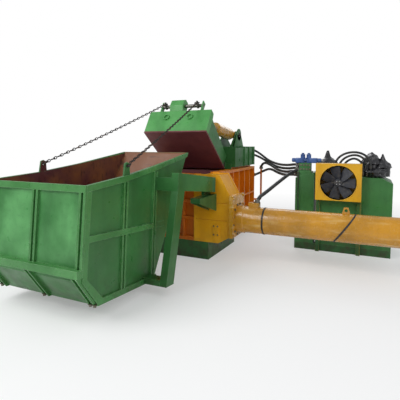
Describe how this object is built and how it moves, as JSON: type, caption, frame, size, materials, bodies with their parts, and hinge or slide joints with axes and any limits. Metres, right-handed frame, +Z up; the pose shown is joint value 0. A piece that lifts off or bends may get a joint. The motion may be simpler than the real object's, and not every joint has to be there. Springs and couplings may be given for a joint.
{
  "type": "scrap metal baler with tipping hopper",
  "caption": "Scrap metal baler: a lidded pressing chamber with a long main cylinder, a chain-lifted tipping hopper in front and a hydraulic power unit behind.",
  "frame": {"origin": "on the floor under the middle of the press base skid", "axes": "+X along the main cylinder, -Y towards the hopper, +Z up"},
  "size_m": [4.43, 5.1547, 2.5913],
  "materials": {
    "base_skid": "satin",
    "rear_sleeper": "satin",
    "right_wall": "satin",
    "left_wall": "satin",
    "chamber_floor": "satin",
    "ram_faces": "satin",
    "rear_wall": "satin",
    "front_wall": "satin",
    "channel_plates": "satin",
    "channel_housing": "satin",
    "channel_flange": "satin",
    "inspection_cover": "satin",
    "main_cylinder": "satin",
    "cylinder_end_cap": "satin",
    "cylinder_straps": "satin",
    "cylinder_fittings": "satin",
    "upper_box": "satin",
    "box_collars": "satin",
    "box_end_plate": "satin",
    "hinge_bracket": "satin",
    "hinge_pin": "satin",
    "cylinder_stands": "satin",
    "pivot_brackets": "satin",
    "unit_rails": "satin",
    "oil_tanks": "satin",
    "cooler_housing": "satin",
    "valve_block": "satin",
    "valves": "satin",
    "pump_motor": "satin",
    "wrapped_motors": "satin",
    "lid_face": "satin",
    "lid_casing": "satin",
    "lid_nose": "satin",
    "lid_lugs": "satin",
    "chain_shaft": "satin",
    "chain_head": "satin",
    "lid_barrel_right": "satin",
    "lid_barrel_left": "satin",
    "lid_rod_right": "satin",
    "lid_rod_left": "satin",
    "hopper_near_side": "satin",
    "hopper_far_side": "satin",
    "hopper_rear_wall": "satin",
    "hopper_floor": "satin",
    "hopper_chute": "satin",
    "hopper_near_frame": "satin",
    "hopper_far_frame": "satin",
    "hopper_rear_frame": "satin",
    "c_frame_near": "satin",
    "c_frame_far": "satin",
    "near_chain_lower": "satin",
    "near_chain_upper": "satin",
    "far_chain_lower": "satin",
    "far_chain_upper": "satin",
    "cooler_fan": "satin"
  },
  "bodies": {
    "press": {"base_skid": "base_skid", "rear_sleeper": "rear_sleeper", "right_wall": "right_wall", "left_wall": "left_wall", "chamber_floor": "chamber_floor", "ram_faces": "ram_faces", "rear_wall": "rear_wall", "front_wall": "front_wall", "channel_plates": "channel_plates", "channel_housing": "channel_housing", "channel_flange": "channel_flange", "inspection_cover": "inspection_cover", "main_cylinder": "main_cylinder", "cylinder_end_cap": "cylinder_end_cap", "cylinder_straps": "cylinder_straps", "cylinder_fittings": "cylinder_fittings", "upper_box": "upper_box", "box_collars": "box_collars", "box_end_plate": "box_end_plate", "hinge_bracket": "hinge_bracket", "hinge_pin": "hinge_pin", "cylinder_stands": "cylinder_stands", "pivot_brackets": "pivot_brackets", "unit_rails": "unit_rails", "oil_tanks": "oil_tanks", "cooler_housing": "cooler_housing", "valve_block": "valve_block", "valves": "valves", "pump_motor": "pump_motor", "wrapped_motors": "wrapped_motors"},
    "lid": {"lid_face": "lid_face", "lid_casing": "lid_casing", "lid_nose": "lid_nose", "lid_lugs": "lid_lugs", "chain_shaft": "chain_shaft", "chain_head": "chain_head"},
    "lid_barrel_right": {"lid_barrel_right": "lid_barrel_right"},
    "lid_barrel_left": {"lid_barrel_left": "lid_barrel_left"},
    "lid_rod_right": {"lid_rod_right": "lid_rod_right"},
    "lid_rod_left": {"lid_rod_left": "lid_rod_left"},
    "hopper": {"hopper_near_side": "hopper_near_side", "hopper_far_side": "hopper_far_side", "hopper_rear_wall": "hopper_rear_wall", "hopper_floor": "hopper_floor", "hopper_chute": "hopper_chute", "hopper_near_frame": "hopper_near_frame", "hopper_far_frame": "hopper_far_frame", "hopper_rear_frame": "hopper_rear_frame", "c_frame_near": "c_frame_near", "c_frame_far": "c_frame_far"},
    "near_chain_lower": {"near_chain_lower": "near_chain_lower"},
    "near_chain_upper": {"near_chain_upper": "near_chain_upper"},
    "far_chain_lower": {"far_chain_lower": "far_chain_lower"},
    "far_chain_upper": {"far_chain_upper": "far_chain_upper"},
    "fan": {"cooler_fan": "cooler_fan"}
  },
  "joints": [
    {"name": "lid_hinge", "type": "hinge", "parent": "press", "child": "lid", "pos_m": [0, 0.56, 1.45], "axis": [-1, 0, 0], "range_deg": [-38, 20]},
    {"name": "hopper_tilt", "type": "hinge", "parent": "press", "child": "hopper", "pos_m": [0, -0.745, 1.2], "axis": [-1, 0, 0], "range_deg": [-4.5, 21]},
    {"name": "fan_spin", "type": "hinge", "parent": "press", "child": "fan", "pos_m": [2.555, 0.508, 1.192], "axis": [0, -1, 0], "continuous": true},
    {"name": "barrel_right_pivot", "type": "hinge", "parent": "press", "child": "lid_barrel_right", "pos_m": [0.445, 1.195, 2], "axis": [-1, 0, 0], "range_deg": [-19, 10]},
    {"name": "rod_right_pivot", "type": "hinge", "parent": "lid", "child": "lid_rod_right", "pos_m": [0.445, 0.07341, 2.13473], "axis": [-1, 0, 0], "range_deg": [-10, 19]},
    {"name": "barrel_left_pivot", "type": "hinge", "parent": "press", "child": "lid_barrel_left", "pos_m": [-0.445, 1.195, 2], "axis": [-1, 0, 0], "range_deg": [-19, 10]},
    {"name": "rod_left_pivot", "type": "hinge", "parent": "lid", "child": "lid_rod_left", "pos_m": [-0.445, 0.07341, 2.13473], "axis": [-1, 0, 0], "range_deg": [-10, 19]},
    {"name": "near_chain_lug_pivot", "type": "hinge", "parent": "hopper", "child": "near_chain_lower", "pos_m": [0.55, -2.41673, 1.56228], "axis": [-1, 0, 0], "range_deg": [-10.5, 2.25]},
    {"name": "near_chain_eye_pivot", "type": "hinge", "parent": "lid", "child": "near_chain_upper", "pos_m": [0.29, -0.031, 2.52086], "axis": [-1, 0, 0], "range_deg": [-20, 38]},
    {"name": "far_chain_lug_pivot", "type": "hinge", "parent": "hopper", "child": "far_chain_lower", "pos_m": [-0.742, -2.41673, 1.56228], "axis": [-1, 0, 0], "range_deg": [-10.5, 2.25]},
    {"name": "far_chain_eye_pivot", "type": "hinge", "parent": "lid", "child": "far_chain_upper", "pos_m": [-0.333, -0.031, 2.52086], "axis": [-1, 0, 0], "range_deg": [-20, 38]}
  ],
  "couplings": [
    {"joint": "barrel_right_pivot", "follows": "lid_hinge", "ratio": 0.5},
    {"joint": "rod_right_pivot", "follows": "lid_hinge", "ratio": -0.5},
    {"joint": "barrel_left_pivot", "follows": "lid_hinge", "ratio": 0.5},
    {"joint": "rod_left_pivot", "follows": "lid_hinge", "ratio": -0.5},
    {"joint": "near_chain_lug_pivot", "follows": "hopper_tilt", "ratio": -0.5},
    {"joint": "near_chain_eye_pivot", "follows": "lid_hinge", "ratio": -1},
    {"joint": "far_chain_lug_pivot", "follows": "hopper_tilt", "ratio": -0.5},
    {"joint": "far_chain_eye_pivot", "follows": "lid_hinge", "ratio": -1}
  ]
}
